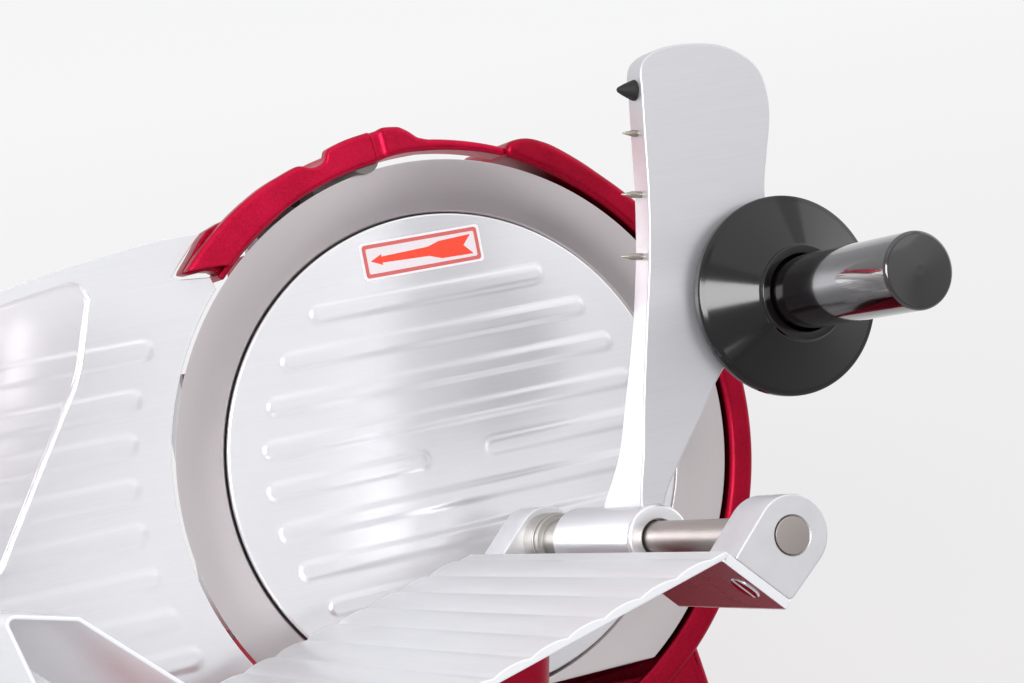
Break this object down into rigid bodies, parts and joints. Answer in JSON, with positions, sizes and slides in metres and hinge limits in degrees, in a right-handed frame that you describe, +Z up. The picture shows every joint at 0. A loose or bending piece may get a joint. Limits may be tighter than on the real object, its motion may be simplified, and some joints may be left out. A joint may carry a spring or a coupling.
{
  "type": "gravity feed meat slicer",
  "caption": "Gravity-feed meat slicer: round blade in a cast housing, gauge plate, food tray on a sliding carriage and a swinging food pusher.",
  "frame": {"origin": "centre of the bounding box in X and Y, at the table under the feet", "axes": "X along the carriage travel, gauge side negative; Y from the food side (negative) to the slice side; Z up"},
  "size_m": [0.458, 0.4442, 0.4026],
  "materials": {
    "body_red": "deep crimson metallic paint, glossy",
    "blade_steel": "fine turned finish, satin",
    "polished_aluminium": "polished anodised",
    "cast_aluminium": "as cast and machined",
    "plate_steel": "plain rolled sheet",
    "screw_steel": "bright zinc",
    "black_plastic": "moulded, fine grain",
    "bronze": "oiled bronze",
    "ground_steel": "ground bright, warm grey",
    "anodised": "satin anodised",
    "belt_rubber": "ribbed rubber",
    "foot_rubber": "matt black rubber",
    "abrasive": "sintered abrasive, rough",
    "nylon": "natural nylon",
    "clear_acrylic": "clear, polished edges",
    "handle_black": "glossy black phenolic",
    "motor_grey": "satin enamel",
    "bronze_sleeve": "ground sleeve",
    "spike_steel": "polished",
    "stainless_sheet": "brushed stainless",
    "button_green": "glossy",
    "button_red": "glossy"
  },
  "bodies": {
    "machine": {"base_casting": "body_red", "blade_cover": "polished_aluminium", "blade_housing": "body_red", "bottom_plate": "plate_steel", "bottom_screws": "screw_steel", "cable_gland": "black_plastic", "carriage_rail": "ground_steel", "dial_plate": "anodised", "drive_belt": "belt_rubber", "foot_front_left": "foot_rubber", "foot_front_right": "foot_rubber", "foot_rear_left": "foot_rubber", "foot_rear_right": "foot_rubber", "gauge_frame": "cast_aluminium", "gauge_rods": "ground_steel", "guide_rail": "ground_steel", "motor": "motor_grey", "motor_cover": "body_red", "motor_screws": "screw_steel", "sharpener_cover": "body_red", "sharpener_frame": "cast_aluminium", "slice_deflector": "stainless_sheet", "spindle": "ground_steel", "switch_housing": "black_plastic", "switch_plate": "plate_steel"},
    "blade": {"blade": "blade_steel", "blade_pulley": "cast_aluminium", "blade_screws": "screw_steel", "spindle_bearings": "ground_steel"},
    "motor_rotor": {"motor_pulley": "cast_aluminium", "motor_shaft": "ground_steel"},
    "tie_rod": {"cover_tie_rod": "ground_steel", "tie_rod_knob": "black_plastic"},
    "gauge": {"gauge_plate": "polished_aluminium", "gauge_bracket": "cast_aluminium"},
    "gauge_knob": {"thickness_knob": "black_plastic", "gauge_cam": "ground_steel"},
    "grinder": {"grinding_button": "black_plastic"},
    "grinder_wheel": {"grinding_wheel": "abrasive"},
    "deburrer": {"deburring_button": "black_plastic"},
    "deburrer_wheel": {"deburring_wheel": "abrasive"},
    "carriage": {"carriage_arm": "body_red", "carriage_bushes": "bronze", "guide_shoe": "nylon", "food_tray": "polished_aluminium", "rod_lugs": "polished_aluminium", "pusher_rod": "ground_steel", "hand_guard": "clear_acrylic", "guard_bracket": "stainless_sheet", "guard_screws": "screw_steel"},
    "lock_knob": {"tray_lock_knob": "black_plastic"},
    "pusher_slider": {"pusher_bush": "bronze_sleeve"},
    "pusher": {"pusher_arm": "polished_aluminium", "handle_guard": "handle_black", "handle_grip": "handle_black", "pusher_spikes": "spike_steel", "rubber_bumper": "foot_rubber"},
    "start": {"start_button": "button_green"},
    "stop": {"stop_button": "button_red"}
  },
  "joints": [
    {"name": "blade_spin", "type": "hinge", "parent": "machine", "child": "blade", "pos_m": [0.091, 0.04389, 0.20974], "axis": [0, -0.8988, 0.4384], "continuous": true},
    {"name": "motor_spin", "type": "hinge", "parent": "machine", "child": "motor_rotor", "pos_m": [0.131, 0.01314, 0.10791], "axis": [0, -0.8988, 0.4384], "continuous": true},
    {"name": "tie_rod_turn", "type": "hinge", "parent": "machine", "child": "tie_rod", "pos_m": [0.091, 0.105, 0.17993], "axis": [0, 0.8988, -0.4384], "range_deg": [0, 360]},
    {"name": "gauge_slide", "type": "slide", "parent": "machine", "child": "gauge", "axis": [0, 0.8988, -0.4384], "range_m": [0, 0.014]},
    {"name": "thickness_turn", "type": "hinge", "parent": "machine", "child": "gauge_knob", "pos_m": [-0.169, 0.01873, 0.03954], "axis": [1, 0, 0], "range_deg": [-1, 301]},
    {"name": "grinder_press", "type": "slide", "parent": "machine", "child": "grinder", "axis": [0, -0.8988, 0.4384], "range_m": [0, 0.0016], "stiffness_N_per_m": 500, "springref_m": -0.002},
    {"name": "grinder_wheel_spin", "type": "hinge", "parent": "grinder", "child": "grinder_wheel", "pos_m": [0.04138, 0.09334, 0.31569], "axis": [0, -0.8988, 0.4384], "continuous": true},
    {"name": "deburrer_press", "type": "slide", "parent": "machine", "child": "deburrer", "axis": [0, 0.8988, -0.4384], "range_m": [0, 0.0013], "stiffness_N_per_m": 500, "springref_m": -0.002},
    {"name": "deburrer_wheel_spin", "type": "hinge", "parent": "deburrer", "child": "deburrer_wheel", "pos_m": [0.07171, 0.08788, 0.33188], "axis": [0, -0.8988, 0.4384], "continuous": true},
    {"name": "carriage_slide", "type": "slide", "parent": "machine", "child": "carriage", "axis": [1, 0, 0], "range_m": [-0.14, 0.065]},
    {"name": "lock_turn", "type": "hinge", "parent": "carriage", "child": "lock_knob", "pos_m": [0.001, -0.1789, 0.2], "axis": [0, -1, 0], "range_deg": [-90, 180]},
    {"name": "pusher_slide", "type": "slide", "parent": "carriage", "child": "pusher_slider", "axis": [0, -0.8988, 0.4384], "range_m": [0, 0.0775]},
    {"name": "pusher_swing", "type": "hinge", "parent": "pusher_slider", "child": "pusher", "pos_m": [0.1026, -0.07462, 0.22226], "axis": [0, -0.8988, 0.4384], "range_deg": [0, 91]},
    {"name": "start_press", "type": "slide", "parent": "machine", "child": "start", "axis": [1, 0, 0], "range_m": [0, 0.003], "stiffness_N_per_m": 400, "springref_m": -0.002},
    {"name": "stop_press", "type": "slide", "parent": "machine", "child": "stop", "axis": [1, 0, 0], "range_m": [0, 0.003], "stiffness_N_per_m": 400, "springref_m": -0.002}
  ],
  "couplings": [
    {"joint": "motor_spin", "follows": "blade_spin", "ratio": 4.9167},
    {"joint": "thickness_turn", "follows": "gauge_slide", "rad_per_m": 374}
  ]
}
